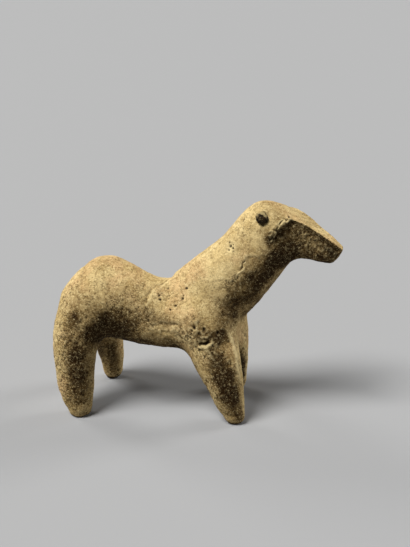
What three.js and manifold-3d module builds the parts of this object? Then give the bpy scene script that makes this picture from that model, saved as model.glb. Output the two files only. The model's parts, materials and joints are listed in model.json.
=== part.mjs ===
// A small horse of fired clay, modelled by hand from rolls of clay that were pinched together.
// It stands on four peg legs, and a pellet of dark clay is set in each side of its head as an eye.
// Millimetres, +Z up, +X towards the nose, +Y towards the horse's left.
// The origin is on the ground, under the middle of the whole figure.

import * as THREE from 'three';
import { MarchingCubes } from 'three/addons/objects/MarchingCubes.js';
import { mergeVertices } from 'three/addons/utils/BufferGeometryUtils.js';
import Module from 'manifold-3d';

const wasm = await Module();
wasm.setup();

// ---- Driving dimensions ------------------------------------------------------------------

const FOOT_SPAN = 58; // from the hind feet to the fore feet
const HIND = -FOOT_SPAN / 2;
const FORE = FOOT_SPAN / 2;
const BARREL_HEIGHT = 36; // middle of the body above the ground
const BARREL_RADIUS = 12.4;
const EYES = { right: [FORE + 8.1, -7.4, 76.1], left: [FORE + 8.5, 7.3, 75] };
const EYE_RADIUS = 2.1;
const EYE_THICKNESS = 0.8; // of a pellet, as a share of its width
const EYE_GAP = 0.3; // between an eye pellet and the socket that holds it

// How softly pieces are smeared together, and how softly the edges of flats are rounded.
const SEAM = { limb: 5, muzzle: 3, neck: 1.6 };
const EDGE = { forehead: 2, bridge: 2, noseTip: 1.2, pinch: 1.8, brow: 1.5, cheek: 2.5 };

// The cube of cells that the clay is sampled in.
const GRID_REACH = 68; // half the cube's side
const GRID_CELLS = 64; // a power of two, so that shared corners come out exactly alike
const GRID_CENTRE = { x: 11, z: 42 };
const WIDEST = 25; // no clay is further than this from the middle plane
const MOST_TRIANGLES = 20000;
const RELAX_PASSES = 6;

// ---- Clay as distances: below 0 inside the clay, above 0 outside it -------------------------

// A roll of clay through beads [x, y, z, radius]. Its width across Y is a share of its depth.
function clayRoll(beads, width = 1, stations = 14) {
	const line = new THREE.CatmullRomCurve3(
		beads.map(([x, y, z]) => new THREE.Vector3(x, y / width, z)),
	);
	const girth = new THREE.SplineCurve(beads.map((bead, i) => new THREE.Vector2(i, bead[3])));
	const rings = Array.from({ length: stations + 1 }, (_, i) => {
		const at = line.getPoint(i / stations);
		return [at.x, at.y, at.z, girth.getPoint(i / stations).y];
	});
	return (x, y, z) => {
		let nearest = Infinity;
		for (let i = 0; i < stations; i++)
			nearest = Math.min(nearest, coneGap([x, y / width, z], rings[i], rings[i + 1]));
		return nearest;
	};
}

// Distance from a point to the round cone between two rings [x, y, z, radius].
function coneGap([x, y, z], [ax, ay, az, ar], [bx, by, bz, br]) {
	const [dx, dy, dz] = [bx - ax, by - ay, bz - az];
	const [px, py, pz] = [x - ax, y - ay, z - az];
	const along = (px * dx + py * dy + pz * dz) / (dx * dx + dy * dy + dz * dz);
	const t = Math.min(Math.max(along, 0), 1);
	return Math.hypot(px - t * dx, py - t * dy, pz - t * dz) - ar - t * (br - ar);
}

// The side of a plane that is cut away: above 0 beyond the point, along the direction.
function facet([px, py, pz], [nx, ny, nz]) {
	const length = Math.hypot(nx, ny, nz);
	return (x, y, z) => ((x - px) * nx + (y - py) * ny + (z - pz) * nz) / length;
}

// Two lumps smeared together over a seam of the given softness.
function join(a, b, softness) {
	const h = Math.max(softness - Math.abs(a - b), 0) / softness;
	return Math.min(a, b) - (h * h * softness) / 4;
}

// Clay cut or pressed away by a tool, with an edge of the given softness.
const press = (clay, tool, softness) => -join(-clay, tool, softness);
const slice = (clay, plane, softness) => -join(-clay, -plane, softness);

// ---- The rolls -----------------------------------------------------------------------------

const barrel = clayRoll([
	[HIND + 9, 0, BARREL_HEIGHT + 3, BARREL_RADIUS + 0.6],
	[HIND + 22, 0, BARREL_HEIGHT + 0.2, BARREL_RADIUS + 0.4],
	[HIND + 36, 0, BARREL_HEIGHT - 0.4, BARREL_RADIUS + 0.4],
	[FORE - 12, 0, BARREL_HEIGHT + 2, BARREL_RADIUS + 0.6],
]);

const hump = clayRoll([
	[HIND + 8.7, 0.5, 44.1, 11.8],
	[HIND + 13.5, 0, 42, 11.4],
]);

const neck = clayRoll([
	[FORE - 14.5, 0, 40.5, 14],
	[FORE - 6.6, 0, 47.7, 13.9],
	[FORE + 1.6, 0, 56.6, 12.8],
	[FORE + 10.4, 0, 68.2, 12],
], 0.82);

const muzzle = clayRoll([
	[FORE + 13, 0, 70, 10],
	[FORE + 24, 0, 67.8, 8.5],
	[FORE + 32, 0, 63.5, 5.9],
], 0.86);

// Legs, from the hip or shoulder down to the foot. The horse's right is at -Y.
const rightHindLeg = clayRoll([
	[HIND + 2.2, -6, 39.5, 10.3],
	[HIND - 0.8, -10, 31, 8.8],
	[HIND - 1.5, -13, 20, 7.6],
	[HIND - 0.7, -15, 9, 6.3],
	[HIND + 0.4, -16, 3, 4.7],
]);

const leftHindLeg = clayRoll([
	[HIND + 5, 6, 40, 9.5],
	[HIND + 4.9, 11, 29, 7.4],
	[HIND + 5.1, 14, 18, 5.9],
	[HIND + 5.7, 16.6, 9, 4.7],
	[HIND + 5.7, 17.7, 3, 4],
]);

const rightForeLeg = clayRoll([
	[FORE - 14, -5, 36, 10.5],
	[FORE - 9, -8.5, 27, 9.4],
	[FORE - 5.4, -11.5, 18, 7.6],
	[FORE - 2, -13.8, 8, 5.6],
	[FORE, -15.2, 3, 4],
]);

const leftForeLeg = clayRoll([
	[FORE - 9, 4, 36, 10],
	[FORE - 5, 8, 25, 7.4],
	[FORE - 3.5, 11, 14, 5.6],
	[FORE - 2.8, 13.5, 3, 4],
]);

const legs = [rightHindLeg, leftHindLeg, rightForeLeg, leftForeLeg];

// The flats of the head: the forehead, the bridge of the nose and the blunt end of the nose.
const forehead = facet([FORE + 19, 0, 75.9], [0.42, 0, 0.91]);
const bridge = facet([FORE + 29.5, 0, 69.3], [0.62, 0, 0.79]);
const noseTip = facet([FORE + 35.4, 0, 61], [0.9, 0, -0.42]);

// The side of the muzzle was pinched flat, which left the cheek standing proud behind it.
function pinch(side) {
	const flat = facet([FORE + 24.4, side * 5.8, 73.4], [-0.18, -side, 0.15]);
	const brow = facet([FORE + 15, 0, 72.2], [-0.65, 0, 0.76]);
	const cheek = facet([FORE + 14, 0, 65.5], [-0.75, 0, -0.66]);
	return (x, y, z) => slice(slice(flat(x, y, z), brow(x, y, z), EDGE.brow), cheek(x, y, z), EDGE.cheek);
}
const pinches = [pinch(-1), pinch(1)];

// The whole figure, smeared together in the order that a potter adds the pieces.
function figure(x, y, z) {
	let clay = join(barrel(x, y, z), hump(x, y, z), SEAM.limb);
	for (const leg of legs) clay = join(clay, leg(x, y, z), SEAM.limb);
	let head = join(neck(x, y, z), muzzle(x, y, z), SEAM.muzzle);
	head = slice(head, forehead(x, y, z), EDGE.forehead);
	head = slice(head, bridge(x, y, z), EDGE.bridge);
	head = slice(head, noseTip(x, y, z), EDGE.noseTip);
	for (const pinched of pinches) head = press(head, pinched(x, y, z), EDGE.pinch);
	return join(clay, head, SEAM.neck);
}

// ---- From distances to a closed mesh -------------------------------------------------------

// The zero surface of the clay, as welded triangles.
function skinOf(clay) {
	const grid = new MarchingCubes(GRID_CELLS, new THREE.Material(), false, false, MOST_TRIANGLES);
	const middle = GRID_CELLS / 2;
	const cell = GRID_REACH / middle;
	grid.field.fill(-1);
	for (let k = 0; k < GRID_CELLS; k++)
		for (let j = 0; j < GRID_CELLS; j++) {
			const y = (j - middle) * cell;
			if (Math.abs(y) > WIDEST) continue;
			const z = (k - middle) * cell + GRID_CENTRE.z;
			for (let i = 0; i < GRID_CELLS; i++)
				grid.setCell(i, j, k, -clay((i - middle) * cell + GRID_CENTRE.x, y, z));
		}
	grid.isolation = 0;
	grid.update();
	const raw = new THREE.BufferGeometry().setAttribute(
		'position',
		new THREE.BufferAttribute(grid.positionArray.slice(0, grid.count * 3), 3),
	);
	const skin = mergeVertices(raw, 1e-6);
	return skin.scale(GRID_REACH, GRID_REACH, GRID_REACH).translate(GRID_CENTRE.x, 0, GRID_CENTRE.z);
}

// Evens out the triangles: each vertex moves to its neighbours' middle and back on to the clay.
function relax(skin, clay) {
	const at = skin.attributes.position;
	const index = skin.index.array;
	const neighbours = Array.from({ length: at.count }, () => new Set());
	for (let i = 0; i < index.length; i += 3)
		for (let c = 0; c < 3; c++) {
			neighbours[index[i + c]].add(index[i + (c + 1) % 3]);
			neighbours[index[i + c]].add(index[i + (c + 2) % 3]);
		}
	const middle = new THREE.Vector3();
	for (let pass = 0; pass < RELAX_PASSES; pass++)
		for (let i = 0; i < at.count; i++) {
			middle.set(0, 0, 0);
			for (const n of neighbours[i])
				middle.add(new THREE.Vector3().fromBufferAttribute(at, n));
			middle.divideScalar(neighbours[i].size);
			settle(middle, clay);
			at.setXYZ(i, middle.x, middle.y, middle.z);
		}
	return skin;
}

// Moves a point on to the surface of the clay, along the slope of the distance.
function settle(point, clay) {
	const step = 0.05;
	const turns = 3;
	const leastSlope = 0.25; // keeps the move short where two slopes meet
	for (let turn = 0; turn < turns; turn++) {
		const { x, y, z } = point;
		const slope = new THREE.Vector3(
			clay(x + step, y, z) - clay(x - step, y, z),
			clay(x, y + step, z) - clay(x, y - step, z),
			clay(x, y, z + step) - clay(x, y, z - step),
		).divideScalar(2 * step);
		point.addScaledVector(slope, -clay(x, y, z) / Math.max(slope.lengthSq(), leastSlope));
	}
}

// ---- Solids, cuts and meshes ---------------------------------------------------------------

// A three.js shape with its seams welded, ready to become a solid.
function weld(geometry) {
	for (const name of ['normal', 'uv']) geometry.deleteAttribute(name);
	return mergeVertices(geometry, 1e-4);
}

function solidOf(welded) {
	return new wasm.Manifold(new wasm.Mesh({
		numProp: 3,
		vertProperties: welded.attributes.position.array,
		triVerts: new Uint32Array(welded.index.array),
	}));
}

function geometryOf(solid) {
	const { vertProperties, triVerts } = solid.getMesh();
	const geometry = new THREE.BufferGeometry()
		.setAttribute('position', new THREE.BufferAttribute(vertProperties, 3))
		.setIndex(new THREE.BufferAttribute(triVerts, 1));
	geometry.computeVertexNormals();
	return geometry;
}

// A pellet: a slightly flattened ball. With a gap it is the socket that holds the pellet.
function pellet(place, gap = 0) {
	const radius = EYE_RADIUS + gap;
	const thickness = EYE_RADIUS * EYE_THICKNESS + gap;
	return weld(new THREE.SphereGeometry(1, 16, 10).scale(radius, thickness, radius).translate(...place));
}

// The soles are flat, because everything below the ground is cut away.
function bodySolid() {
	const clay = solidOf(relax(skinOf(figure), figure));
	const depth = 20;
	const ground = solidOf(weld(new THREE.BoxGeometry(200, 200, depth).translate(0, 0, -depth / 2)));
	const sockets = [EYES.right, EYES.left].map((place) => solidOf(pellet(place, EYE_GAP)));
	return clay.subtract(ground).subtract(sockets[0]).subtract(sockets[1]);
}

// ---- The scene graph -------------------------------------------------------------------------

const terracotta = new THREE.MeshStandardMaterial({ color: 0xb59a6b, roughness: 0.92, metalness: 0 });
const darkClay = new THREE.MeshStandardMaterial({ color: 0x4a4234, roughness: 0.8, metalness: 0 });

const horse = new THREE.Group();
function add(name, geometry, material) {
	const mesh = new THREE.Mesh(geometry, material);
	mesh.name = name;
	horse.add(mesh);
}
add('clay_body', geometryOf(bodySolid()), terracotta);
add('right_eye', pellet(EYES.right), darkClay);
add('left_eye', pellet(EYES.left), darkClay);

const { min, max } = new THREE.Box3().setFromObject(horse);
horse.position.set(-(min.x + max.x) / 2, -(min.y + max.y) / 2, -min.z);

export default horse;
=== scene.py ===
# %% [markdown]
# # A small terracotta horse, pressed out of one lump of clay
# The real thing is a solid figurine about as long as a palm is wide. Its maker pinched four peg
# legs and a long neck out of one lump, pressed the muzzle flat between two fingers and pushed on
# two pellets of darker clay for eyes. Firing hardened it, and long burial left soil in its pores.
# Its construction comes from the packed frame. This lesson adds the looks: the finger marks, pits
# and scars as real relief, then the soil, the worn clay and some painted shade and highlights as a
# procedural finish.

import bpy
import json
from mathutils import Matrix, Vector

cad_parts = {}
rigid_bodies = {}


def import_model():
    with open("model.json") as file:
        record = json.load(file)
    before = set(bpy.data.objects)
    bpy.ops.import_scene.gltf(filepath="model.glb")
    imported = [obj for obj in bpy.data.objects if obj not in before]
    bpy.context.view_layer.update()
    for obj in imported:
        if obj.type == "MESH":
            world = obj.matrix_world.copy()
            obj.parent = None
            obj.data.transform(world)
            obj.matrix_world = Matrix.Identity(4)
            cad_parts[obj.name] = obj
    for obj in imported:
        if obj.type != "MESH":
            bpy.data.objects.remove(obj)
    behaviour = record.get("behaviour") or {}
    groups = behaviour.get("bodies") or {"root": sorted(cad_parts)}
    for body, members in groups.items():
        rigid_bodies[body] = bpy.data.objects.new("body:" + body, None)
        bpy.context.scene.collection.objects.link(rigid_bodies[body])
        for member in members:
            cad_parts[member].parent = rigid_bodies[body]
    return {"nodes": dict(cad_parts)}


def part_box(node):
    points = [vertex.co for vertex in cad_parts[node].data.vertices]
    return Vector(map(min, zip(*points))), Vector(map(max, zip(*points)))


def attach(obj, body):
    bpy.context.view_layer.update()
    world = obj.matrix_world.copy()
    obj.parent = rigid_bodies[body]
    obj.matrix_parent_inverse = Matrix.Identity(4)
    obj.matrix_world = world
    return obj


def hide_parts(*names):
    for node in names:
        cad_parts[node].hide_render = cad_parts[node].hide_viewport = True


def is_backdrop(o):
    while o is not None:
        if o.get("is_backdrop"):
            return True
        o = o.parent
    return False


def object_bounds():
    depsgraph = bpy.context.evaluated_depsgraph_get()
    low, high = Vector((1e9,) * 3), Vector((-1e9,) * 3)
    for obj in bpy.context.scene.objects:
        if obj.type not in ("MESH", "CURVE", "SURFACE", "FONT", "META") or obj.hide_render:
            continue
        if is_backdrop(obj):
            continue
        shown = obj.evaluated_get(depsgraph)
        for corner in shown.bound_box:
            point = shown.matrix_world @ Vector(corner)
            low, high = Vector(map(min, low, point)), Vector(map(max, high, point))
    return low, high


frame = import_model()
print("pieces:", [name for name in frame["nodes"]])

# %% [markdown]
# ## Tools, units and sides
# The frame is in metres, but a figurine is easier to think of in millimetres, so lengths below
# are written in millimetres and multiplied by MM. The horse faces +X with its right side towards
# -Y, so a side is a sign, and the same stroke can be made on either one.

# %% Tools and units
import json
import math

import bmesh
import bpy
import numpy as np
from mathutils import Matrix, Vector, noise
from mathutils.bvhtree import BVHTree

MM = 0.001
RIGHT = -1
LEFT = 1
cad_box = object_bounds()
print("box of the packed pieces, mm:", [round(v / MM, 2) for corner in cad_box for v in corner])

# %% [markdown]
# ## The camera
# It stands on the horse's right, a little towards the head and above the back, as a person at a
# table looks at such a figurine. A long lens keeps the small legs from leaning. The camera is made
# from an azimuth, an elevation and a distance, because those are easy to read and to change.

# %% Camera
VIEW_AZIMUTH = math.radians(8)
VIEW_ELEVATION = math.radians(20)
VIEW_DISTANCE = 440.3
AIM = (2.6, 0, 51.5)
LENS = 79.6
NEAREST_SEEN = 0.01
FURTHEST_SEEN = 20


def towards(azimuth, elevation):
    """The direction from the horse towards a place at that azimuth and elevation."""
    level = math.cos(elevation)
    return Vector((math.sin(azimuth) * level, -math.cos(azimuth) * level, math.sin(elevation)))


camera = bpy.data.objects.new("camera", bpy.data.cameras.new("camera"))
bpy.context.scene.collection.objects.link(camera)
camera.data.lens = LENS
camera.data.clip_start = NEAREST_SEEN
camera.data.clip_end = FURTHEST_SEEN
camera.location = (Vector(AIM) + towards(VIEW_AZIMUTH, VIEW_ELEVATION) * VIEW_DISTANCE) * MM
camera.rotation_euler = (math.pi / 2 - VIEW_ELEVATION, 0, VIEW_AZIMUTH)
bpy.context.scene.camera = camera
print("camera at, mm:", [round(v / MM, 1) for v in camera.location])

# %% [markdown]
# ## One whole lump of clay
# The packed body is loose triangles with a socket for each eye. The real body has no sockets: the
# pellets were pressed onto whole clay. So a copy of the body is welded, and each socket is filled
# with a ball of clay. A boolean could join the balls, but the remesh in the next step joins
# whatever overlaps, and does it more safely.

# %% One welded copy of the body
WELD = 1e-7
PLUG_SCALE = (1.25, 1.0, 1.25)
PLUG_DEPTH = 0.9 * MM


def merged_copy(node_name):
    """A packed piece as a bmesh, its loose triangles welded together."""
    clay = bmesh.new()
    clay.from_mesh(frame["nodes"][node_name].data)
    bmesh.ops.remove_doubles(clay, verts=clay.verts, dist=WELD)
    return clay


def centre_and_half(node_name):
    """The middle of a packed piece and half its size along each axis."""
    low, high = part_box(node_name)
    return (low + high) / 2, (high - low) / 2


EYES = {RIGHT: "right_eye", LEFT: "left_eye"}
body_clay = merged_copy("clay_body")
for side, eye_name in EYES.items():
    centre, half = centre_and_half(eye_name)
    inward = Vector((0, -side * PLUG_DEPTH, 0))
    size = Matrix.Diagonal((*(half * Vector(PLUG_SCALE)), 1))
    place = Matrix.Translation(centre + inward) @ size
    bmesh.ops.create_uvsphere(body_clay, u_segments=24, v_segments=16, radius=1, matrix=place)
print("welded body:", len(body_clay.verts), "points")

# %% [markdown]
# ## From facets to soft clay
# Facets would show as flat lights. A sculptor in Blender would remesh the body into small even
# quads and smooth them before carving. The same is done here with modifiers: subdivide, voxel
# remesh, smooth. Starting from the packed shape keeps every proportion, which carving a new horse
# out of a sphere would not.

# %% Remesh into even clay
CLAY_CELL = 0.32 * MM
SMOOTHING_ROUNDS = 7


def make_piece(name, shape):
    """A mesh object made from a bmesh, at the origin."""
    mesh = bpy.data.meshes.new(name)
    shape.to_mesh(mesh)
    shape.free()
    piece = bpy.data.objects.new(name, mesh)
    bpy.context.scene.collection.objects.link(piece)
    return piece


def settle(piece):
    """Gives a piece the mesh that its modifiers make, and clears them."""
    graph = bpy.context.evaluated_depsgraph_get()
    settled = bpy.data.meshes.new_from_object(piece.evaluated_get(graph))
    piece.modifiers.clear()
    piece.data = settled
    return settled


def add_modifier(piece, kind, **settings):
    """Adds one modifier with its settings."""
    modifier = piece.modifiers.new(kind.lower(), kind)
    for key, value in settings.items():
        setattr(modifier, key, value)


horse = make_piece("horse_clay", body_clay)
add_modifier(horse, "SUBSURF", levels=1, render_levels=1)
add_modifier(horse, "REMESH", mode="VOXEL", voxel_size=CLAY_CELL, use_smooth_shade=True)
add_modifier(horse, "SMOOTH", factor=0.5, iterations=SMOOTHING_ROUNDS)
settle(horse)
print("remeshed body:", len(horse.data.vertices), "points")

# %% [markdown]
# ## The skin as arrays
# A sculpting stroke moves many points by a little. A brush in Sculpt Mode needs a hand, so each
# stroke here works out a height for every point instead, and the skin is moved along its normals
# by the sum. Sizes are in millimetres from here to the finish, and every stroke is placed by how
# far forward and how high it is, then dropped onto the skin from the side.

# %% Skin


class Skin:
    """The points of a mesh in millimetres, with the strokes that need all of them."""

    def __init__(self, mesh):
        self.mesh = mesh
        self.edges = self.read(mesh.edges, "vertices", 2, np.int32)
        self.refresh()

    def read(self, items, field, width, kind=np.float32):
        """One field of the mesh's items as an array."""
        values = np.empty(len(items) * width, kind)
        items.foreach_get(field, values)
        return values.reshape(-1, width)

    def refresh(self):
        """Reads the points and their normals, at the start and after each change."""
        self.points = self.read(self.mesh.vertices, "co", 3).astype(float) / MM
        self.normals = self.read(self.mesh.vertices, "normal", 3).astype(float)

    def write(self):
        """Puts the points back into the mesh."""
        self.mesh.vertices.foreach_set("co", (self.points * MM).astype(np.float32).ravel())
        self.mesh.update()
        self.refresh()

    def lift(self, heights):
        """Moves every point along its normal by its own height."""
        self.points += self.normals * heights[:, None]
        self.write()

    def spread(self, values, rounds):
        """Averages a value with its neighbours, a number of times."""
        first, second = self.edges.T
        count = len(self.points)
        meetings = np.bincount(self.edges.ravel(), minlength=count)
        for _ in range(rounds):
            total = np.bincount(first, values[second], count)
            total += np.bincount(second, values[first], count)
            values = (values + total) / (1 + meetings)
        return values

    def store(self, name, values):
        """Keeps a value for every point as an attribute that a finish can read."""
        layer = self.mesh.attributes.new(name, "FLOAT", "POINT")
        layer.data.foreach_set("value", np.clip(values, 0, 1).astype(np.float32))


skin = Skin(horse.data)
print("skin of", len(skin.points), "points")

# %% [markdown]
# ## A soft step and slow noise
# Two helpers shape nearly every stroke. One turns a value into a share that starts and stops
# softly, as a thumb does. The other is smooth noise, moved to another part of its pattern by a
# seed, so that no two strokes wobble alike.

# %% Ease and lumps
SEED_STEPS = (1.0, 1.7, 2.3)


def ease(values, low, high):
    """0 below low, 1 above high and a smooth curve between."""
    share = np.clip((values - low) / (high - low), 0, 1)
    return share * share * (3 - 2 * share)


def lumps(points, size, seed):
    """Smooth noise between -1 and 1, with lumps about as wide as size."""
    shift = Vector([seed * step for step in SEED_STEPS])
    return np.array([noise.noise(Vector(p) / size + shift) for p in points.tolist()])


print("a quarter of the way eases to", round(float(ease(0.25, 0, 1)), 3))

# %% [markdown]
# ## Crisp edges on the head
# The maker squeezed the muzzle between two fingers and flattened its top, so the head has flat
# planes that meet in edges. Smoothing has rounded those edges. Each point near an edge is pushed
# out again until it meets the first of the planes, as if wet clay were scraped up into a corner.
# The forehead and the bridge count as one roof, because the bend between them stays soft.

# %% Sharpen the head
ROOF = [((34.7, 0, 75.9), (0.42, 0, 0.91)), ((45.2, 0, 69.3), (0.62, 0, 0.79))]
NOSE = ((51.1, 0, 61.0), (0.9, 0, -0.42))
MUZZLE_SIDES = [((40.1, -6.0, 73.4), (0.18, -1, -0.15)), ((40.1, 5.6, 73.4), (0.18, 1, -0.15))]
LEAST_FACING = 0.15
FAR_AWAY = 9.0
CORNER_FILL = 0.85
NEAR_FLAT = (1.4, 2.0)
NEAR_SECOND_FLAT = (2.2, 3.2)
MUZZLE_START = (31, 35)
NOT_UNDERNEATH = (-0.5, -0.1)


def way_to_flat(place, direction):
    """How far each point can move out along its normal before it meets a flat."""
    direction = np.array(Vector(direction).normalized())
    gap = (np.array(place) - skin.points) @ direction
    facing = skin.normals @ direction
    return np.where(facing > LEAST_FACING, gap / np.maximum(facing, LEAST_FACING), FAR_AWAY)


way_to_roof = np.min([way_to_flat(*flat) for flat in ROOF], axis=0)
ways = np.sort([way_to_roof] + [way_to_flat(*flat) for flat in (NOSE, *MUZZLE_SIDES)], axis=0)
in_corner = (1 - ease(ways[0], *NEAR_FLAT)) * (1 - ease(ways[1], *NEAR_SECOND_FLAT))
ahead_of_cheek = ease(skin.points[:, 0], *MUZZLE_START)
on_muzzle = ahead_of_cheek * ease(skin.normals[:, 2], *NOT_UNDERNEATH)
push = CORNER_FILL * np.clip(ways[0], 0, None) * in_corner * on_muzzle
skin.lift(push)
print("sharpest push, mm:", round(push.max(), 2))

# %% [markdown]
# ## Places on the skin
# A stroke needs its path on the surface. Points are given as forward and height, in millimetres,
# and a ray dropped from the horse's right or left finds the skin there. The paths are then
# measured in a slightly warped space, so that a groove wanders as a real one does.

# %% Places, paths and patches
FAR_SIDE = 60
WARP = 0.4
WARP_SIZE = 1.5
WARP_SEEDS = (3, 5, 7)
RIM_FALL = 1.6

tree = BVHTree.FromObject(horse, bpy.context.evaluated_depsgraph_get())
warp = np.stack([lumps(skin.points, WARP_SIZE, seed) for seed in WARP_SEEDS], axis=1)
warped = skin.points + WARP * warp


def drop(forward, height, side):
    """The skin met from one side at that forward and height, or the nearest skin past its edge."""
    start = Vector((forward, side * FAR_SIDE, height)) * MM
    hit = tree.ray_cast(start, Vector((0, -side, 0)))[0]
    if hit is None:
        hit = tree.find_nearest(Vector((forward, 0, height)) * MM)[0]
    return np.array(hit) / MM


def nearest_on(path):
    """Each point's distance from a path, its offset from it and the share of the path passed."""
    ends = np.array(path)
    lengths = np.linalg.norm(np.diff(ends, axis=0), axis=1)
    passed = np.concatenate([[0], np.cumsum(lengths)])
    best = np.full(len(warped), np.inf)
    offset = np.zeros_like(warped)
    share = np.zeros(len(warped))
    for start, end, length, before in zip(ends, ends[1:], lengths, passed):
        along = np.clip((warped - start) @ (end - start) / length**2, 0, 1)
        away = warped - (start + along[:, None] * (end - start))
        distance = np.linalg.norm(away, axis=1)
        closer = distance < best
        best[closer] = distance[closer]
        offset[closer] = away[closer]
        share[closer] = ((before + along * length) / passed[-1])[closer]
    return best, offset, share


def patch(forward, height, length, width, slope=0, side=RIGHT, facing_from=-0.2, facing_to=0.4):
    """A soft oval on one side of the horse: 1 in its middle, 0.2 at its rim, turned by slope."""
    turn = math.radians(slope)
    ahead = skin.points[:, 0] - forward
    above = skin.points[:, 2] - height
    along = (ahead * math.cos(turn) + above * math.sin(turn)) / length
    across = (above * math.cos(turn) - ahead * math.sin(turn)) / width
    facing = ease(skin.normals[:, 1] * side, facing_from, facing_to)
    return np.exp(-RIM_FALL * (along**2 + across**2)) * facing


print("furthest warp, mm:", round(float(np.abs(WARP * warp).max()), 2))

# %% [markdown]
# ## Where the clay is coarse, and where it is stained and shaded
# Handling has polished the rump, the back and the upper neck. Low down, under the jaw and on the
# squeezed muzzle the clay kept its sandy skin, and soil stays in it. Shade falls in the same places,
# and is painted into the colour along with the soil. One mask says how coarse the skin is and a
# second how deeply it is stained and shaded. The first drives the relief here, and both drive the
# colours later, so that relief and darkening agree. They could be painted by hand. Soft ovals are
# used instead, because a list of them can be read, moved and made stronger one at a time. The
# first ovals say where the skin is coarse, and where it has chipped besides.

# %% Coarse and chipped ovals
COARSE_PATCHES = [
    # forward, height, length, width, slope, strength
    (-43, 20, 30, 14, -88, 1.1),
    (-27, 36, 20, 12, 0, 1.0),
    (-14, 42, 14, 8, 10, 0.45),
    (4, 31, 14, 10, -20, 1.0),
    (12, 15, 22, 9, -66, 1.0),
    (20, 48, 24, 10, 56, 0.85),
    (30, 62, 9, 7, 45, 1.0),
    (14, 52.5, 7, 3.5, 20, 0.9),
    (-20, 46, 9, 6, 0, 0.4),
]
CHIPPED_PATCHES = [
    (6, 30, 9, 8, -30, 1.0),
    (1, 35.5, 7, 4, 0, 1.0),
    (-9, 33, 11, 4, 5, 1.3),
    (31, 73.5, 5, 3, 48, 1.0),
    (15, 51, 8, 5, 40, 0.7),
    (-24, 46, 14, 7, -10, 0.3),
    (40, 67, 15, 8, -33, 0.5),
]
print("coarse ovals:", len(COARSE_PATCHES), "chipped:", len(CHIPPED_PATCHES))

# %% [markdown]
# ## Stained, shaded and lit places
# Soil and painted shade darken the flank, the belly, the legs, the throat and the jaw, and a few
# edges where light catches them are kept pale as painted highlights. The trunk and the legs have a
# list each, because the darkening reaches further round the trunk, and stops short of the edges of
# the legs, which stay pale where light catches them. The left side repeats every oval weaker and a
# little out of place, as no two sides age alike.

# %% Stained, shaded and lit ovals
# Ovals where the clay is darkened as soil and as painted shade.
BODY_STAINS_AND_SHADE = [
    # forward, height, length, width, slope, strength
    (-26, 46, 13, 8, 0, 0.25),
    (-29, 36, 17, 10, -4, 0.85),
    (-31, 31.5, 12, 8, 0, 1.4),
    (-13, 38, 13, 4.5, -12, 0.55),
    (-12, 29, 16, 4.5, 8, 0.5),
    (6, 34, 11, 7, -8, 0.75),
    (10, 33, 6, 5.5, 0, 1.0),
    (18, 47.5, 24, 10.5, 57, 0.72),
    (25, 53.5, 16, 5, 57, 0.95),
    (13.5, 39, 13, 9, 72, 0.7),
    (31.5, 62, 11, 7, 45, 1.4),
    (27.5, 68.5, 6, 5.5, 45, 0.8),
    (28.5, 77.5, 6, 3, -20, 0.4),
]
# On the legs the same darkening, soil and painted shade, stops short of their edges.
LEG_STAINS_AND_SHADE = [
    (-42, 37, 13, 7, -88, 0.62),
    (-41.5, 20, 25, 7.5, -88, 0.86),
    (-35, 12, 15, 6, -88, 0.7),
    (13.2, 16, 23, 6.4, -67, 1.05),
]
# Edges kept pale as painted highlights, where light catches them.
LIT_EDGE_PATCHES = [
    (41, 67, 7.5, 3.6, -38, 0.5),
    (-48, 20, 26, 2.6, -86, 0.5),
    (15.9, 26, 13, 2.2, -78, 0.75),
    (-13, 33, 8, 2.2, 0, 0.4),
]
ROUND_THE_TRUNK = (-0.6, 0.1)
# The darkening on the legs stops short of their edges, which stay pale where light catches them.
ROUND_A_LEG = (0.05, 0.75)
LEFT_SHARE = 0.65
LEFT_SHIFT = (3, -2)


def strongest(patches, facing_from=-0.2, facing_to=0.4):
    """The strongest of a list of patches, with a weaker and shifted set on the left side."""
    zones = np.zeros(len(skin.points))
    for forward, height, length, width, slope, strength in patches:
        oval = (forward, height, length, width, slope, RIGHT, facing_from, facing_to)
        zones = np.maximum(zones, strength * patch(*oval))
        place = (forward + LEFT_SHIFT[0], height + LEFT_SHIFT[1])
        oval = (*place, length, width, slope, LEFT, facing_from, facing_to)
        zones = np.maximum(zones, LEFT_SHARE * strength * patch(*oval))
    return zones


print("stained ovals:", len(BODY_STAINS_AND_SHADE + LEG_STAINS_AND_SHADE), "worn:", len(LIT_EDGE_PATCHES))

# %% [markdown]
# ## The two masks
# Each mask is the strongest of its ovals, broken up by noise, because a smooth gradient would look
# sprayed on. Four places need no ovals: what faces down is coarse and is darkened as soil and as
# painted shade, what faces up is darkened a little as painted shade, the feet are coarse, and the
# flat sides of the muzzle are coarse and darkened as soil and as painted shade. Those sides begin
# at the jaw, softly and weaker on the left.

# %% The coarse mask and the darkening mask
JAW_PLACE = (30.6, 0, 72.8)
JAW_FRONT = (0.79, 0, -0.62)
THROAT_PLACE = (31.5, 0, 63)
THROAT_FRONT = (0.9, 0, 0.4)
JAW_BLUR = (-0.6, 0.9)
THROAT_BLUR = (-2, 2)
LEFT_BLUR = 2.5
SIDEWAYS = (0.5, 0.8)
FACING_DOWN = (0.0, 0.9)
FACING_UP = (0.45, 1)
TURNING_LEFT = (-0.3, 0.3)
FOOT_TO_KNEE = (14, 36)
WANDER_SIZE = 2.2
WANDER_SEED = 9
BROAD_LUMPS = [
    # amount, size, seed
    (0.28, 5, 11),
    (0.22, 1.7, 12),
]
LEAST_COARSE = 0.14


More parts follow.
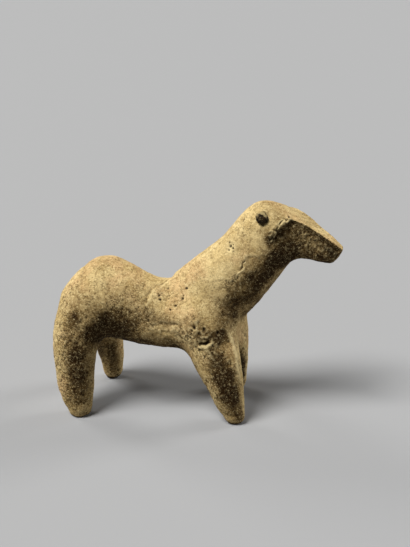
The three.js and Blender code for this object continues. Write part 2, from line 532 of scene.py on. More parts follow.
def squeezed_sides(left):
    """1 on the flat sides of the muzzle, from the jaw forward; it starts softly on the left."""
    wander = (0.9 + 1.6 * left) * lumps(skin.points, WANDER_SIZE, WANDER_SEED)
    before_jaw = (skin.points - np.array(JAW_PLACE)) @ np.array(JAW_FRONT) + wander
    before_throat = (skin.points - np.array(THROAT_PLACE)) @ np.array(THROAT_FRONT) + wander
    sideways = ease(np.abs(skin.normals[:, 1]), *SIDEWAYS)
    start = ease(before_jaw, JAW_BLUR[0] - LEFT_BLUR * left, JAW_BLUR[1] + LEFT_BLUR * left)
    return start * ease(before_throat, *THROAT_BLUR) * sideways


underneath = ease(-skin.normals[:, 2], *FACING_DOWN)
# What faces up, which is darkened a little below as painted shade, so that the lit tops are not too
# bright.
settled = ease(skin.normals[:, 2], *FACING_UP)
low = 1 - ease(skin.points[:, 2], *FOOT_TO_KNEE)
left = ease(skin.normals[:, 1], *TURNING_LEFT)
squeezed = squeezed_sides(left) * (1 - 0.5 * left)
broad_noise = sum(amount * lumps(skin.points, size, seed) for amount, size, seed in BROAD_LUMPS)

coarse_zones = [strongest(COARSE_PATCHES), 0.9 * underneath, 0.6 * low, 1.1 * squeezed]
coarse_share = ease(np.max(coarse_zones, axis=0) + broad_noise, 0.0, 1.05)
coarse = LEAST_COARSE + (1 - LEAST_COARSE) * coarse_share
# The darkening mask stands for soil and for painted shade: its ovals, what faces down, a little of what
# faces up and the sides of the muzzle.
stain_zones = [strongest(BODY_STAINS_AND_SHADE, *ROUND_THE_TRUNK), strongest(LEG_STAINS_AND_SHADE, *ROUND_A_LEG)]
stain_zones += [0.85 * underneath, 0.1 * settled, 0.75 * squeezed]
soiled = np.clip(np.max(stain_zones, axis=0) + 0.6 * broad_noise, 0, 1)
# Edges where light catches them are kept clear of soil and shade, as painted highlights.
stain = soiled * (1 - strongest(LIT_EDGE_PATCHES))
chipped = strongest(CHIPPED_PATCHES)
print("coarse share:", round(float(coarse.mean()), 2), "stained:", round(float(stain.mean()), 2))

# %% [markdown]
# ## Strokes
# The relief is one height for every point, and each kind of stroke adds to it: a groove pressed
# with a stick, a ridge, a step where one lot of clay overlaps another, a pit and a broad swell. A
# stroke also leaves marks, a dark scar that is painted with shadow and soil and a rubbed edge that
# will be pale.
# Keeping both in one class means that the colour can never miss the shape.

# %% Relief
END_MARGIN = 0.06
END_GAIN = 1.6
LIP_PLACE = 0.62
LIP_HALF = 0.5
PIT_SPREAD = 1.35
PIT_GAIN = 1.2


def bell(values):
    """1 at zero, falling smoothly to 0 at one."""
    return 1 - ease(np.abs(values), 0, 1)


def ends_fade(share):
    """1 along the middle of a path, less towards its two ends."""
    inside = END_MARGIN + (1 - 2 * END_MARGIN) * share
    return np.clip(np.sin(np.pi * inside) * END_GAIN, 0, 1)


class Relief:
    """Heights built up by strokes, and the marks that the strokes leave."""

    def __init__(self):
        self.height = np.zeros(len(skin.points))
        self.scar = np.zeros(len(skin.points))
        self.rubbed = np.zeros(len(skin.points))
        self.uneven = np.clip(0.8 + 0.7 * lumps(skin.points, 1.9, 8), 0.15, 1.3)
        self.crumbly = np.clip(0.45 + 1.5 * lumps(skin.points, 1.1, 14), 0, 1.5)

    def mark(self, scar, rubbed=0):
        """Keeps the darkest scar and the palest rub met so far."""
        self.scar = np.maximum(self.scar, scar)
        self.rubbed = np.maximum(self.rubbed, rubbed)

    def groove(self, path, width, depth, lip=0.0, dark=0.0, side=RIGHT):
        """Presses a line into the skin, with clay pushed up along its lower edge."""
        distance, offset, share = nearest_on([drop(*place, side) for place in path])
        cut = bell(distance / (width / 2)) * ends_fade(share) * self.uneven
        below = ease(-offset[:, 2], 0, width / 4)
        rim = bell((distance - width * LIP_PLACE) / (width * LIP_HALF))
        rim *= below * ends_fade(share)
        self.height += lip * rim * (1 - cut) - depth * cut
        self.mark(cut * dark, rim * (lip > 0) * (1 - cut))

    def ridge(self, path, width, height, pale=0.5, crumbling=0.0, side=RIGHT):
        """Raises a soft line of clay, broken into crumbs where it is crumbling."""
        distance, _, share = nearest_on([drop(*place, side) for place in path])
        crest = bell(distance / (width / 2)) * ends_fade(share)
        crest *= (1 - crumbling) + crumbling * self.crumbly
        self.height += height * crest
        self.mark(0, pale * crest)

    def step(self, path, height, run, blur=0.9, side=RIGHT):
        """Raises the clay ahead of a path, or sinks it, so that it ends in a step."""
        distance, offset, share = nearest_on([drop(*place, side) for place in path])
        ahead = ease(offset[:, 0], -blur, blur) * bell(distance / run)
        self.height += height * ahead * ends_fade(share)

    def pit(self, forward, height, radius, depth, side=RIGHT):
        """Presses one small hole."""
        distance = np.linalg.norm(warped - drop(forward, height, side), axis=1)
        hole = bell(distance / (PIT_SPREAD * radius))
        self.height -= PIT_GAIN * depth * hole
        self.mark(hole)

    def swell(self, forward, height, length, width, slope, amount, side=RIGHT):
        """Raises or sinks a broad oval."""
        self.height += amount * patch(forward, height, length, width, slope, side)

    def report(self, stage):
        """Prints how deep and how high the relief is so far."""
        low, high = self.height.min(), self.height.max()
        print(stage, "relief, mm:", round(float(low), 2), "to", round(float(high), 2))


relief = Relief()
relief.report("bare")

# %% [markdown]
# ## Broad forms
# The large relief comes first: the slow lumps that fingers leave everywhere, then the hollows of
# the flank and the shoulder, the strip smeared along the belly and the shallow dents of the neck
# and the muzzle. A wide brush would do this by hand. Noise and a few ovals do it here, and can be
# changed later.

# %% Finger lumps and swells
FINGER_LUMPS = [
    # amount, size, seed
    (0.42, 13, 21),
    (0.2, 5.5, 22),
]
SWELLS = [
    # forward, height, length, width, slope, amount
    (-29, 34, 13, 8, 0, -0.9),
    (-11, 32, 10, 3.5, 5, 0.3),
    (11, 29.5, 5.5, 3.4, -65, -0.75),
    (14.8, 24, 13, 2.6, -80, 0.45),
    (36, 69.5, 8, 5, -32, -0.4),
    (46, 64, 4, 4, 0, 0.3),
    (22, 50, 16, 5, 56, -0.35),
]
for amount, size, seed in FINGER_LUMPS:
    relief.height += amount * lumps(skin.points, size, seed)
for oval in SWELLS:
    relief.swell(*oval)
relief.report("lumps and swells,")

# %% [markdown]
# ## Folds
# The clay of the neck was lapped over the back, and a notch was left above the haunch. Both cross
# the ridge of the back, because a fold that stops short of it would not break the outline. The
# belly has a crease, and the foreleg a raised front edge, whose pale crest is partly wear and
# partly a painted highlight where light catches it.

# %% Folds and creases
SADDLE_LAP = [(-8.6, 50.6), (-9.8, 49.2), (-12.4, 47.8), (-15.5, 46.7), (-16.6, 44.8), (-17.9, 42)]
LEFT_LAP = [(-8.6, 50.6), (-9, 49.6), (-9.8, 48), (-11.4, 45.8), (-12, 43)]
HAUNCH_NOTCH = [(-43, 53.2), (-42, 51.6), (-40.8, 50.4), (-39, 49.6)]
LEFT_NOTCH = [(-43, 53.2), (-42.4, 52.2), (-42.2, 51), (-42, 48.6)]
FORELEG_EDGE = [(12.6, 34.6), (14.3, 30.4), (16, 22.4), (17.2, 16.8)]
CREASES = [
    # path, width, depth, lip, dark
    ([(-17.2, 34.4), (-13.5, 35.4), (-10.3, 36.2), (-6, 36.6), (-2, 37.4)], 2.4, 0.35, 0, 0.5),
    ([(-5, 33), (-3.6, 31), (-3.1, 28)], 2.0, 0.3, 0.04, 0.4),
    ([(16.4, 31), (17.6, 25), (18.2, 18)], 1.8, 0.45, 0, 0.7),
]


def behind(path, back, up=0.0):
    """The same path, moved back and up."""
    return [(forward - back, height + up) for forward, height in path]


for lap, side, rise, blur in ((SADDLE_LAP, RIGHT, 0.7, 0.85), (LEFT_LAP, LEFT, 0.35, 1.3)):
    relief.step(lap, rise, run=7, blur=blur, side=side)
    relief.groove(behind(lap, 0.6), width=2.8, depth=0.2, dark=0.25, side=side)
relief.groove(HAUNCH_NOTCH, width=4.6, depth=0.65)
relief.groove(LEFT_NOTCH, width=4.6, depth=0.75, side=LEFT)
# Its pale crest is partly wear and partly a painted highlight where light catches the edge.
relief.ridge(FORELEG_EDGE, width=2.6, height=0.45, pale=0.8)
for crease in CREASES:
    relief.groove(*crease)
relief.report("with folds,")

# %% [markdown]
# ## Seats of the eye pellets
# Each pellet was pushed into soft clay, so it sits in a shallow dent, darkened around its foot by
# soil and a painted shadow. A boolean cut would leave a hard edge there. A stroke in the shape of a
# ring stays soft.

# %% Seats
SEAT_WIDTH = 1.4
SEAT_DEPTH = 0.35
SEAT_SOIL_AND_SHADOW = 0.5

for side, eye_name in EYES.items():
    centre, half = centre_and_half(eye_name)
    away = np.linalg.norm((warped - np.array(centre) / MM)[:, (0, 2)], axis=1)
    facing = ease(skin.normals[:, 1] * side, 0.2, 0.5)
    seat = bell((away - half.x / MM) / SEAT_WIDTH) * facing * relief.uneven
    relief.height -= SEAT_DEPTH * seat
    # The ring is darkened as soil and as a painted shadow round the pellet.
    relief.mark(SEAT_SOIL_AND_SHADOW * seat)
relief.report("with eye seats,")

# %% [markdown]
# ## The torn edge of the jaw
# Squeezing the muzzle pushed clay back against the cheek, where it stands as a crumbling edge
# with cracks behind it. The muzzle sinks in a step below the cheek, crumbs are set along the edge
# as broken ridges, and short cracks and pits are pressed between them. The left side was squeezed
# in the same way, and gets a plainer edge.

# %% Jaw
JAW_EDGE = [(33.9, 75.3), (32.9, 74.3), (31.6, 74.1), (30.4, 72.6), (29.4, 71.4), (28.6, 69)]
JAW_CRACKS = [
    [(33.2, 76), (32.2, 75.3), (31.6, 75.8)],
    [(31.2, 75.4), (30.2, 74.2), (30.6, 73)],
    [(29.8, 73.6), (28.9, 71.9), (29.2, 70.8)],
    [(28.8, 70.4), (27.4, 69.2), (26.6, 68.4)],
]
JAW_PITS = [
    # forward, height, radius, depth
    (33.2, 76.2, 0.6, 0.5),
    (30.6, 72.4, 0.6, 0.4),
    (28.0, 69.2, 0.7, 0.4),
]
CRUMBS = [
    # back, up, width, height, pale
    (0.7, 0, 2.0, 0.55, 0.7),
    (2.2, 0.4, 2.4, 0.35, 0.4),
]

for side, edge, strength in ((RIGHT, JAW_EDGE, 1.0), (LEFT, JAW_EDGE[2:], 0.6)):
    relief.step(edge, -0.8 * strength, run=6, blur=0.4 / strength, side=side)
    for back, up, width, height, pale in CRUMBS:
        relief.ridge(behind(edge, back, up), width, height * strength, pale, 1.0, side)
for crack in JAW_CRACKS:
    relief.groove(crack, width=0.9, depth=0.5, lip=0.15, dark=0.9)
for hole in JAW_PITS:
    relief.pit(*hole)
relief.report("with jaw,")

# %% [markdown]
# ## Scars of the right side
# A crack opened in the neck as it dried, with a finger fold beside it, and there is a nick near
# the crown. The shoulder has a gouge with a torn lip, and crumbs of clay above it. Each is one
# row: its path, its size and how dark or how pale it is.

# %% Neck and shoulder scars
SCARS = [
    # path, width, depth, lip, dark
    ([(18.3, 61), (17.1, 59.8), (17.5, 58.3), (16.3, 56.8)], 0.9, 0.6, 0.15, 1.0),
    ([(16.6, 57.4), (15.2, 55.8), (14.8, 54.6)], 0.8, 0.3, 0.15, 0.6),
    ([(17.2, 74.6), (16.9, 73.4), (16.6, 72.6)], 0.8, 0.35, 0, 1.0),
    ([(2.4, 30.7), (4, 31.1), (5.4, 31.4), (6.6, 32.2)], 2.0, 1.05, 0.12, 1.0),
]
RIDGES = [
    # path, width, height, pale, crumbling
    ([(17.5, 60.5), (18.6, 62.6), (21, 63.4), (23.6, 62.4)], 3.0, 0.25, 0.2, 0.0),
    ([(2.6, 29.2), (4.6, 29.4), (6.6, 30.3), (7.8, 32), (8.3, 34.2)], 1.7, 0.36, 0.5, 1.0),
    ([(2.6, 32.8), (4.4, 33), (6.2, 33.6)], 2.2, 0.4, 0.6, 0.9),
]
for scar in SCARS:
    relief.groove(*scar)
for ridge in RIDGES:
    relief.ridge(*ridge)
relief.report("with right scars,")

# %% [markdown]
# ## Pits of the right side
# Grit that fell out left pits, on the barrel, on the shoulder and in a cluster high on the neck.
# Noise would scatter them evenly, so these large ones are placed one by one. The clay around the
# cluster and down the middle of the neck has been rubbed pale.

# %% Right pits and rubbed places
PITS = [
    # forward, height, radius, depth
    (-12.9, 45.3, 0.7, 0.5),
    (-12.4, 44.3, 0.6, 0.45),
    (-4.2, 45.4, 0.65, 0.5),
    (-3.9, 46.4, 0.5, 0.4),
    (-3.0, 48.8, 0.75, 0.4),
    (-6.8, 43.0, 0.65, 0.6),
    (-8.4, 41.3, 0.55, 0.45),
    (-9.2, 44.6, 0.4, 0.2),
    (12.2, 66.0, 0.6, 0.45),
    (12.4, 65.0, 0.7, 0.55),
    (12.3, 63.8, 0.5, 0.45),
    (13.5, 65.7, 0.4, 0.4),
    (13.5, 64.6, 0.65, 0.5),
    (13.8, 63.4, 0.4, 0.35),
    (4.6, 36.0, 0.85, 0.6),
    (0.9, 36.5, 0.75, 0.6),
    (0.1, 35.4, 0.5, 0.4),
    (2.8, 34.4, 0.55, 0.5),
    (-1.9, 35.0, 0.4, 0.35),
    (2.8, 28.4, 0.6, 0.4),
    (7.8, 30.8, 0.45, 0.4),
    (6.5, 27.6, 0.55, 0.4),
    (9.6, 34.8, 0.6, 0.3),
    (-0.6, 32.6, 0.5, 0.4),
    (4.9, 26.4, 0.45, 0.35),
]
RUBBED_PATCHES = [
    # strength, then forward, height, length, width, slope
    (0.7, 13.1, 64.6, 2.8, 2.4, 0),
    (0.35, 9, 56, 14, 6, 52),
]
for hole in PITS:
    relief.pit(*hole)
for strength, *oval in RUBBED_PATCHES:
    relief.mark(0, strength * patch(*oval))
relief.report("with right pits,")

# %% [markdown]
# ## Marks of the left side
# The left side has had the same life: a shallow thumb dent on the haunch, a drying crack, a nick
# on the neck and a few pits. Mirroring the right side would be quicker, but a mirrored crack looks
# false, so the left has its own rows, fewer and plainer.

# %% Left marks
LEFT_SWELLS = [
    (-27, 34, 12, 8, 0, -0.6),
    (-3, 44, 7, 5, 20, -0.35),
    (11, 29, 6, 4, -60, -0.5),
]
LEFT_SCARS = [
    ([(-14, 35), (-9, 34.2), (-5, 35.2), (-1, 35)], 2.4, 0.3, 0, 0.35),
    ([(8.6, 54.6), (9.6, 56.4), (9.4, 57.6), (10.4, 59.4)], 0.9, 0.4, 0.15, 0.9),
    ([(-31, 44.2), (-29, 45.6), (-28.4, 47), (-26.8, 48.2)], 0.9, 0.3, 0.1, 0.7),
]
LEFT_PITS = [
    (-20, 45, 0.6, 0.4),
    (-18.6, 43.4, 0.5, 0.35),
    (-2, 47, 0.7, 0.45),
    (1.4, 43.6, 0.6, 0.5),
    (2.5, 34.5, 0.8, 0.5),
    (4.5, 32.8, 0.6, 0.45),
    (17.6, 66.4, 0.6, 0.4),
    (40, 67, 0.6, 0.35),
]
for oval in LEFT_SWELLS:
    relief.swell(*oval, LEFT)
for scar in LEFT_SCARS:
    relief.groove(*scar, LEFT)
for hole in LEFT_PITS:
    relief.pit(*hole, LEFT)
relief.report("with left marks,")

# %% [markdown]
# ## Sand
# The clay was tempered with sand. Three sizes of noise make the lumpy skin, stronger where it is
# coarse and strongest where it is chipped. Cells of two sizes give the holes that grains left,
# and each cell draws a chance from its own place, so that only some of them become holes.

# %% Sandy grain and pits
GRAIN = [
    # size, amount, seed
    (3.0, 0.13, 30),
    (1.6, 0.12, 31),
    (0.95, 0.11, 32),
]
GRAIN_HOLES = [
    # size, share of the cells, seed
    (1.9, 0.20, 41),
    (1.2, 0.30, 42),
]
PLAIN_GRAIN = 0.32
CHIPPED_GRAIN = 1.3
HOLE_DEPTH = 0.13
HOLE_RADIUS = 0.55
HOLE_SOIL_AND_SHADE = 0.7
CELL_SEED_STEPS = (1.0, 0.7, 1.3)
CHANCE_DIRECTION = (12.9, 78.2, 37.7)
CHANCE_SCALE = 4375.85


def cells(size, seed):
    """Distance to the middle of the nearest cell, and a chance that each cell keeps for itself."""
    shift = Vector([seed * step for step in CELL_SEED_STEPS])
    found = [noise.voronoi(Vector(p) / size + shift) for p in skin.points.tolist()]
    distance = np.array([near[0] for near, _ in found])
    middles = np.array([tuple(places[0]) for _, places in found])
    chance = np.modf(np.abs(np.sin(middles @ CHANCE_DIRECTION)) * CHANCE_SCALE)[0]
    return distance, chance


roughness = PLAIN_GRAIN + (1 - PLAIN_GRAIN) * coarse + CHIPPED_GRAIN * chipped
for size, amount, seed in GRAIN:
    relief.height += amount * roughness * lumps(skin.points, size, seed)
for size, share, seed in GRAIN_HOLES:
    distance, chance = cells(size, seed)
    hole = bell(distance / HOLE_RADIUS) * (chance < share * (1.3 * coarse - 0.25))
    relief.height -= HOLE_DEPTH * size * hole
    # The holes are darkened as soil and painted shade.
    relief.mark(HOLE_SOIL_AND_SHADE * hole)
relief.report("with sand,")

# %% [markdown]
# ## Carve it
# The heights are applied in one move along the normals. A Displace modifier could make the same
# move, but here it can stop at the ground, so that the soles stay on it. What stands higher or
# lower than its surroundings is kept too: hollows are darkened as soil and painted shade, and
# crests wear pale.

# %% Carve
SURROUNDINGS = 12
HOLLOW_DEPTHS = (0.02, 0.16)
CREST_HEIGHTS = (0.02, 0.14)

fine_height = relief.height - skin.spread(relief.height, SURROUNDINGS)
skin.lift(relief.height)
skin.points[:, 2] = np.maximum(skin.points[:, 2], 0)
skin.write()
MARKS = {
    "coarse": coarse,
    "stain": stain,
    "scar": relief.scar,
    "rubbed": relief.rubbed,
    # Hollows, which the finish darkens as soil and painted shade.
    "hollow": ease(-fine_height, *HOLLOW_DEPTHS),
    "crest": ease(fine_height, *CREST_HEIGHTS),
}
for name, values in MARKS.items():
    skin.store(name, values)
print("kept for the finish:", list(MARKS))

# %% [markdown]
# ## Thin the mesh
# The plain places carry more triangles than they need. A coarser remesh would lose the small
# pits. Collapsing edges keeps them and brings the piece under its limit. The result stands in for
# the packed body.

# %% Thin the mesh where it is plain
MOST_TRIANGLES = 192_000


def triangle_count(piece):
    """How many triangles a piece has once its faces are split."""
    return sum(len(face.vertices) - 2 for face in piece.data.polygons)


triangles = triangle_count(horse)
add_modifier(horse, "DECIMATE", ratio=min(1, MOST_TRIANGLES / triangles))
settle(horse)
for face in horse.data.polygons:
    face.use_smooth = True
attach(horse, "root")
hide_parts("clay_body")
print("triangles:", triangles, "thinned to", triangle_count(horse))

# %% [markdown]
# ## Shader arithmetic
# A finish is mostly sums of noise. Each sum could be a Math node placed by hand. Wrapping a socket
# in a small class lets the sums be written as sums, and each one still becomes a Math node.

# %% Shade


class Shade:
    """A socket in a finish, with the arithmetic that shader maths needs."""

    def __init__(self, finish, socket):
        self.finish = finish
        self.socket = socket

    def maths(self, operation, first, second):
        """One Math node on two values."""
        return self.finish.node("ShaderNodeMath", {"operation": operation}, {0: first, 1: second})

    def __add__(self, other):
        return self.maths("ADD", self, other)

    __radd__ = __add__

    def __mul__(self, other):
        return self.maths("MULTIPLY", self, other)

    __rmul__ = __mul__

    def __sub__(self, other):
        return self.maths("SUBTRACT", self, other)

    def __rsub__(self, other):
        return self.maths("SUBTRACT", other, self)

    def under(self, other):
        """1 where this value is less than the other."""
        return self.maths("LESS_THAN", self, other)

    def clipped(self):
        """This value, kept between 0 and 1."""
        return self.finish.node("ShaderNodeClamp", None, {"Value": self})

    def ease(self, low, high):
        """0 below low, 1 above high and a smooth curve between; low may be the larger."""
        settings = {"interpolation_type": "SMOOTHSTEP"}
        values = {"Value": self, "From Min": low, "From Max": high}
        return self.finish.node("ShaderNodeMapRange", settings, values)


print("a shade can be:", [name for name in vars(Shade) if not name.startswith("_")])

# %% [markdown]
# ## A finish
# One method adds any node: its kind, its settings, then the values or links of its sockets. The
# others name the few patterns that a clay needs: a cloud, a field of grains, a bump. Patterns sit
# on Object coordinates, in millimetres, so they stay on the clay wherever the horse is put.

# %% Finish


class Finish:
    """A material built from nodes by a few calls."""

    def __init__(self, name):
        self.material = bpy.data.materials.new(name)
        self.material.use_nodes = True
        self.tree = self.material.node_tree
        self.surface = self.tree.nodes["Principled BSDF"]

    def node(self, kind, settings=None, values=None, output=0):
        """Adds a node: its settings first, then the values or links of its sockets."""
        made = self.tree.nodes.new(kind)
        for key, value in (settings or {}).items():
            setattr(made, key, value)
        self.fill(made, values or {})
        return Shade(self, made.outputs[output])

    def fill(self, made, values):
        """Sets or links the sockets of a node."""
        for key, value in values.items():
            if isinstance(value, Shade):
                self.tree.links.new(value.socket, made.inputs[key])
            else:
                made.inputs[key].default_value = value

    def mix(self, first, second, share):
        """One colour passing into another as share goes from 0 to 1."""
        values = {0: share, 6: first, 7: second}
        return self.node("ShaderNodeMix", {"data_type": "RGBA"}, values, output=2)

    def attribute(self, name):
        """A value that the mesh keeps for each point."""
        return self.node("ShaderNodeAttribute", {"attribute_name": name}, output="Fac")

    def place(self, size, shift=(0, 0, 0), stretch=(1, 1, 1), turn=0.0):
        """Object coordinates in steps of size millimetres, turned about Y and then stretched."""
        here = self.node("ShaderNodeTexCoord", output="Object")
        if turn:
            spin = (0, math.radians(turn), 0)
            here = self.node("ShaderNodeMapping", None, {"Vector": here, "Rotation": spin})
        steps = tuple(1 / (size * MM * longer) for longer in stretch)
        return self.node("ShaderNodeMapping", None, {"Vector": here, "Scale": steps, "Location": shift})

    def cloud(self, size, detail=3.0, shift=(0, 0, 0), roughness=0.5, **placing):
        """Soft noise around 0.5, with lumps about as wide as size."""
        place = self.place(size, shift, **placing)
        values = {"Vector": place, "Scale": 1.0, "Detail": detail, "Roughness": roughness}
        return self.node("ShaderNodeTexNoise", None, values)

    def cells(self, size, shift=(0, 0, 0)):
        """Distance to the middle of the nearest grain, and a chance kept by each grain."""
        values = {"Vector": self.place(size, shift), "Scale": 1.0}
        distance = self.node("ShaderNodeTexVoronoi", None, values)
        colour = Shade(self, distance.socket.node.outputs["Color"])
        chance = self.node("ShaderNodeSeparateColor", None, {0: colour})
        return distance, chance

    def bump(self, height, strength, distance):
        """A normal tilted by a height, whose full range stands for that distance."""
        values = {"Strength": strength, "Distance": distance * MM, "Height": height}
        return self.node("ShaderNodeBump", None, values)

    def report(self, stage):
        """Prints how many nodes the finish has so far."""
        print(stage, "nodes:", len(self.tree.nodes))


print("a finish can:", [name for name in vars(Finish) if not name.startswith("_")])

# %% [markdown]
# ## Colours as light
# A painter's colour runs from 0 to 255 and follows the eye. A shader counts light, in which a
# middle grey is only about a fifth of white. The colour picker converts one into the other, and
# this helper does the same, so that the clay can be mixed in the painter's numbers.

# %% From paint to light


def rgb(red, green, blue):
    """A colour given as a painter's 0 to 255 values, for a shader socket."""
    shares = [channel / 255 for channel in (red, green, blue)]
    linear = [((s + 0.055) / 1.055) ** 2.4 if s > 0.04 else s / 12.92 for s in shares]
    return (*linear, 1)


print("middle grey as light:", [round(channel, 3) for channel in rgb(128, 128, 128)])

# %% [markdown]
# ## The ground of the fired clay
# The clay fired to a warm buff. It drifts a little towards ochre, rose and olive, and soil and
# painted shade have browned it where it is stained and shaded. The colours are laid one over
# another, as washes of slip would be, because a wash can be moved without spoiling the ones below
# it. Slow noise makes the drifts, and finer noise breaks up the soil and the shade. How strongly
# each wash covers is kept in one list.

# %% Ground colours
BUFF = rgb(212, 187, 132)
OCHRE = rgb(192, 165, 110)
ROSE = rgb(200, 158, 112)
OLIVE = rgb(138, 112, 68)
# Browns of soil, which also darken the clay as painted shade.
SOIL_AND_SHADE_BROWN = rgb(92, 64, 22)
DEEP_SOIL_AND_SHADE = rgb(38, 22, 4)
SAND = rgb(232, 212, 158)
SHADOW = rgb(30, 20, 10)
COVER = {
    "rose": 0.5,
    "olive": 0.66,
    "soil": 0.96,
    "deep soil": 0.93,
    "gap": 0.52,
    "sand": 0.9,
    "hole": 0.75,
    "hollow": 0.5,
    "crest": 0.4,
    "rubbed": 0.45,
    "scar": 0.9,
    "scratch": 0.2,
}


def ground(clay, stain):
    """Buff clay with its drifts of colour, and the soil and painted shade that darken it."""
    colour = clay.mix(BUFF, OCHRE, clay.cloud(6).ease(0.35, 0.65))
    rosy = clay.cloud(12, shift=(3, 1, 7)).ease(0.48, 0.66) * (1 - stain)
    colour = clay.mix(colour, ROSE, rosy * COVER["rose"])
    mottle = clay.cloud(1.6, 5.0, (5, 2, 4), 0.7).ease(0.46, 0.64)
    colour = clay.mix(colour, OLIVE, mottle * COVER["olive"])
    # The darkening mask brings soil and painted shade alike, and both brown the clay here.
    soil = (stain * (0.5 + clay.cloud(2.6, 6.0, (9, 4, 2), 0.7) * 1.3)).clipped()
    colour = clay.mix(colour, SOIL_AND_SHADE_BROWN, soil * COVER["soil"])
    return clay.mix(colour, DEEP_SOIL_AND_SHADE, soil.ease(0.4, 1.1) * COVER["deep soil"]), soil


clay = Finish("fired_clay")
mark = {name: clay.attribute(name) for name in MARKS}
colour, soil = ground(clay, mark["stain"])
clay.report("ground")

# %% [markdown]
# ## Sand, gaps and holes
# Close to, the clay is pale sand with dark gaps between the grains. A cell pattern could draw each
# grain, but real sand is uneven, so two noises of different size are added and cut twice: what is
# low becomes a gap and what is high a grain. Cells are kept for the few holes that larger grains
# left, because those are round.

# %% Grains
GAP_CUT = 0.455
COARSE_GAPS = 0.055
GAP_SHARPNESS = 16
SAND_CUT = 0.548
SAND_SHARPNESS = 15


def grains(clay, colour, coarse, soil):
    """Dark gaps, most where the skin is coarse, and pale sand; also the noise they come from."""
    broad = clay.cloud(0.8, 5.0, (1, 8, 3), 0.7)
    fine = clay.cloud(0.36, 3.0, (4, 1, 2), 0.6)
    mixed = broad * 0.5 + fine * 0.5
    drift = clay.cloud(5, 2.0, (6, 6, 1)) - 0.5
    gap_cut = GAP_CUT + coarse * COARSE_GAPS + drift * 0.1
    gaps = ((gap_cut - mixed) * GAP_SHARPNESS).clipped()
    sand = ((mixed - SAND_CUT) * SAND_SHARPNESS).clipped()
    colour = clay.mix(colour, DEEP_SOIL_AND_SHADE, gaps * (COVER["gap"] + coarse * 0.38))
    colour = clay.mix(colour, SAND, sand * (COVER["sand"] - soil * 0.42))
    return colour, mixed


def holes(clay, colour, coarse):
    """A few dark holes where larger grains fell out of coarse clay; also where they are."""
    distance, chance = clay.cells(0.8, (2, 5, 1))
    hole = chance.under(coarse * 0.1 - 0.03) * distance.ease(0.5, 0.2)
    return clay.mix(colour, SHADOW, hole * COVER["hole"]), hole


colour, mixed = grains(clay, colour, mark["coarse"], soil)
colour, hole = holes(clay, colour, mark["coarse"])
clay.report("with grains,")

# %% [markdown]
# ## The marks of the relief
# The relief kept a mark for each hollow, crest, scar and rubbed edge. Hollows and scars are
# darkened as soil and painted shade, and wear lightens the crests. A shader could look for edges by
# itself, but the kept marks are the same in every light and from every side. Faint pale scratches,
# which follow the slope of the back, are the last wash.

# %% Relief in the colour
SCRATCH_STRETCH = (9, 1, 1)
SCRATCH_TURN = -38


def relief_wash(clay, colour, mark, soil):
    """Dark hollows and scars, pale crests and rubbed edges."""
    # Hollows are darkened as soil and painted shade.
    colour = clay.mix(colour, DEEP_SOIL_AND_SHADE, mark["hollow"] * COVER["hollow"])
    colour = clay.mix(colour, SAND, mark["crest"] * (COVER["crest"] - soil * 0.2))
    colour = clay.mix(colour, SAND, mark["rubbed"] * COVER["rubbed"])
    # Scars, pits and eye seats are darkened with painted shadow and soil.
    return clay.mix(colour, SHADOW, mark["scar"].ease(0.3, 0.85) * COVER["scar"])


colour = relief_wash(clay, colour, mark, soil)
scratches = clay.cloud(0.35, 2.0, (2, 2, 8), stretch=SCRATCH_STRETCH, turn=SCRATCH_TURN)
streaks = scratches.ease(0.6, 0.75) * mark["coarse"] * COVER["scratch"]
colour = clay.mix(colour, SAND, streaks)
clay.report("with relief,")

# %% [markdown]
# ## The surface of the clay
# Grains under half a millimetre are too fine for the mesh, so a bump stands for them and for the
# scratches. Fired earth is dull. It shines a little only where an edge has been rubbed, so the
# roughness stays high.

# %% Surface of the clay
BUMP_DISTANCE = 0.36
CLAY_ROUGHNESS = 0.9
CLAY_GLINT = 0.08

height = mixed * (0.7 + mark["coarse"]) + scratches * 0.35 - hole * 0.5
clay.fill(clay.surface, {
    "Base Color": colour,
    "Roughness": CLAY_ROUGHNESS - mark["rubbed"] * 0.1,
    "Normal": clay.bump(height, 1.0, BUMP_DISTANCE),
    "Specular IOR Level": CLAY_GLINT,
})
horse.data.materials.clear()
horse.data.materials.append(clay.material)
clay.report("whole clay,")

# %% [markdown]
# ## Eye pellets
# Each eye is a pellet of darker clay, rolled between two fingers and pressed on, so it is a ball a
# little out of round. An icosphere swollen by slow noise gives that. It stands a little further
# out than the packed pellet, because the clay that fills the socket would hide part of it.

# %% Pellet shapes
PELLET_RISE = 0.7 * MM
PELLET_SIZE = (1.02, 1.05, 1.0)
PELLET_SWELLINGS = [
    # noise scale, share of the radius
    (1.3, 0.09),
    (3.4, 0.05),
    (9.0, 0.025),
]


def make_pellet(side):
    """A pellet of dark clay, rolled between two fingers and pressed onto the head."""
    centre, half = centre_and_half(EYES[side])
    pellet = bmesh.new()
    bmesh.ops.create_icosphere(pellet, subdivisions=6, radius=1)
    for point in pellet.verts:
        direction = point.co.copy()
        for scale, amount in PELLET_SWELLINGS:
            point.co += direction * amount * noise.noise(direction * scale + Vector((side, 4, 2)))
    size = Matrix.Diagonal((*(half * Vector(PELLET_SIZE)), 1))
    place = Matrix.Translation(centre + Vector((0, side * PELLET_RISE, 0)))
    bmesh.ops.transform(pellet, matrix=place @ size, verts=pellet.verts)
    bmesh.ops.recalc_face_normals(pellet, faces=pellet.faces)
    for face in pellet.faces:
        face.smooth = True
    piece = make_piece(EYES[side] + "_pellet", pellet)
    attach(piece, "root")
    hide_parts(EYES[side])
    return piece


pellets = [make_pellet(side) for side in (RIGHT, LEFT)]
print("pellets:", [(piece.name, triangle_count(piece)) for piece in pellets])

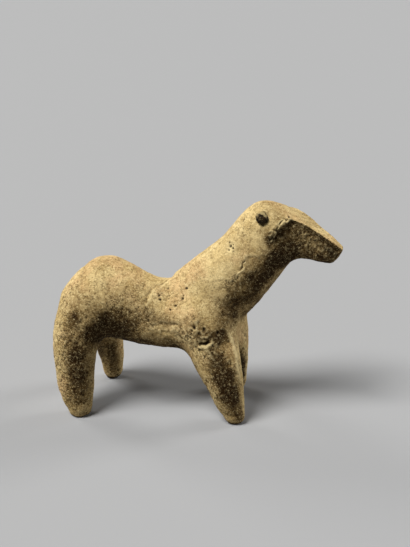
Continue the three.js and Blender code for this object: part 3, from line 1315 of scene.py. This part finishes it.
# %% [markdown]
# ## Dark clay
# The pellets fired nearly black. Pale buff patches are laid over them, and their upper side is
# lightened as a painted highlight, so the pale is stronger where the surface faces up.

# %% Pellet finish
PELLET_DARK = rgb(52, 38, 20)
PELLET_DARKER = rgb(26, 18, 9)
PELLET_BLOOM_AND_HIGHLIGHT = rgb(160, 142, 98)
PELLET_ROUGHNESS = 0.8
PELLET_GLINT = 0.12
PELLET_BUMP = 0.15


def dark_clay():
    """Near-black clay with pale buff patches and a painted highlight on its crown."""
    clay = Finish("dark_clay")
    normal = clay.node("ShaderNodeNewGeometry", output="Normal")
    upward = clay.node("ShaderNodeSeparateXYZ", None, {0: normal}, "Z")
    colour = clay.mix(PELLET_DARK, PELLET_DARKER, clay.cloud(1.1, shift=(2, 2, 1)).ease(0.4, 0.6))
    # Pale patches, stronger where the surface faces up, as a painted highlight.
    bloom_and_highlight = clay.cloud(0.9, 4.0, (4, 4, 4)) + upward * 0.24
    colour = clay.mix(colour, PELLET_BLOOM_AND_HIGHLIGHT, bloom_and_highlight.ease(0.55, 0.72) * 0.85)
    clay.fill(clay.surface, {
        "Base Color": colour,
        "Roughness": PELLET_ROUGHNESS,
        "Normal": clay.bump(clay.cloud(0.35), 0.6, PELLET_BUMP),
        "Specular IOR Level": PELLET_GLINT,
    })
    clay.report("dark clay")
    return clay.material


pellet_material = dark_clay()
for piece in pellets:
    piece.data.materials.append(pellet_material)

# %% [markdown]
# ## The floor
# The horse stands on plain pale paper. The paper is much larger than the horse, so that it fills
# the view from every side and its far edge never shows.

# %% Floor
FLOOR_HALF = 6.4
FLOOR_SINK = 0.02 * MM
PAPER_GREY = (0.3, 0.3, 0.3, 1)
PAPER_ROUGHNESS = 0.9

floor_shape = bmesh.new()
bmesh.ops.create_grid(floor_shape, x_segments=1, y_segments=1, size=FLOOR_HALF)
bmesh.ops.translate(floor_shape, verts=floor_shape.verts, vec=(0, 0, -FLOOR_SINK))
floor = make_piece("floor", floor_shape)
paper = Finish("pale_floor")
paper.fill(paper.surface, {"Base Color": PAPER_GREY, "Roughness": PAPER_ROUGHNESS})
floor.data.materials.append(paper.material)
floor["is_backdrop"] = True
print("floor", 2 * FLOOR_HALF, "m wide")

# %% [markdown]
# ## The light
# One wide lamp high above the back gives soft shadows and leaves the belly and the throat dark.
# Two weaker lamps behind the head and the tail light the edges of the legs and the neck. Area
# lamps would be the usual choice, but they light only the paper near them. Sun lamps light it
# evenly, and a wide sun is as soft. The world adds very little.

# %% Lamps and world
LAMPS = [
    # name, azimuth, elevation, apparent width in degrees, strength
    ("overhead", -48, 60, 26, 4.5),
    ("head side", 122, 20, 24, 1.8),
    ("tail side", -122, 20, 24, 1.25),
]
WORLD_GREY = (0.8, 0.8, 0.8, 1)
WORLD_STRENGTH = 0.03


def soft_light(name, azimuth, elevation, width, strength):
    """A far, wide lamp, so that the paper is lit evenly and shadows are soft."""
    lamp = bpy.data.lights.new(name, "SUN")
    lamp.angle = math.radians(width)
    lamp.energy = strength
    holder = bpy.data.objects.new(name, lamp)
    bpy.context.scene.collection.objects.link(holder)
    back = towards(math.radians(azimuth), math.radians(elevation))
    holder.location = back
    holder.rotation_euler = back.to_track_quat("Z", "Y").to_euler()


for lamp in LAMPS:
    soft_light(*lamp)
world = bpy.data.worlds.new("world")
world.use_nodes = True
background = world.node_tree.nodes["Background"]
background.inputs["Color"].default_value = WORLD_GREY
background.inputs["Strength"].default_value = WORLD_STRENGTH
bpy.context.scene.world = world
bpy.context.scene.view_settings.view_transform = "Standard"
print("lamps:", [name for name, *_ in LAMPS])

# %% [markdown]
# ## Close
# Both boxes are printed, so that the looks can be compared with the packed pieces.

# %% Sizes and finish
boxes = {"cad": cad_box, "visual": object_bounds()}
sizes = {name: [list(corner) for corner in box] for name, box in boxes.items()}
for name, box in sizes.items():
    print(name, "box, mm:", [[round(value / MM, 2) for value in corner] for corner in box])
